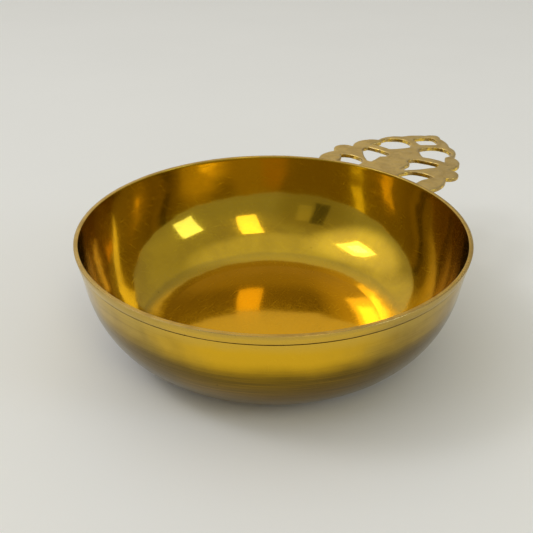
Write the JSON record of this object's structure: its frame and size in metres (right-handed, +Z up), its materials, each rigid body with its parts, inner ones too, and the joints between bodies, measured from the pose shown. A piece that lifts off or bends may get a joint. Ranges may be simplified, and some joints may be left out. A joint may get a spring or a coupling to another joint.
{
  "type": "handled decorative bowl",
  "caption": "Round turned brass bowl with a flat lip and a flat base, and a flat, pierced, scalloped handle brazed to the side of its rim.",
  "frame": {"origin": "centre of the bowl's flat underside, on the surface it stands on", "axes": "+Z up along the bowl's turning axis, +X from the bowl's axis to the handle's tip, +Y to the left of the handle seen from the bowl"},
  "size_m": [0.206, 0.148, 0.0445],
  "materials": {
    "polished_brass": "turned and polished yellow brass, lacquered, with fine polishing lines",
    "cast_brass": "cast and filed brass, dull satin with a grey-brown tone",
    "braze_filler": "pale, dull filler metal"
  },
  "bodies": {
    "root": {"bowl": "polished_brass", "handle": "cast_brass", "braze_bead_left": "braze_filler", "braze_bead_middle": "braze_filler", "braze_bead_right": "braze_filler"}
  },
  "joints": []
}
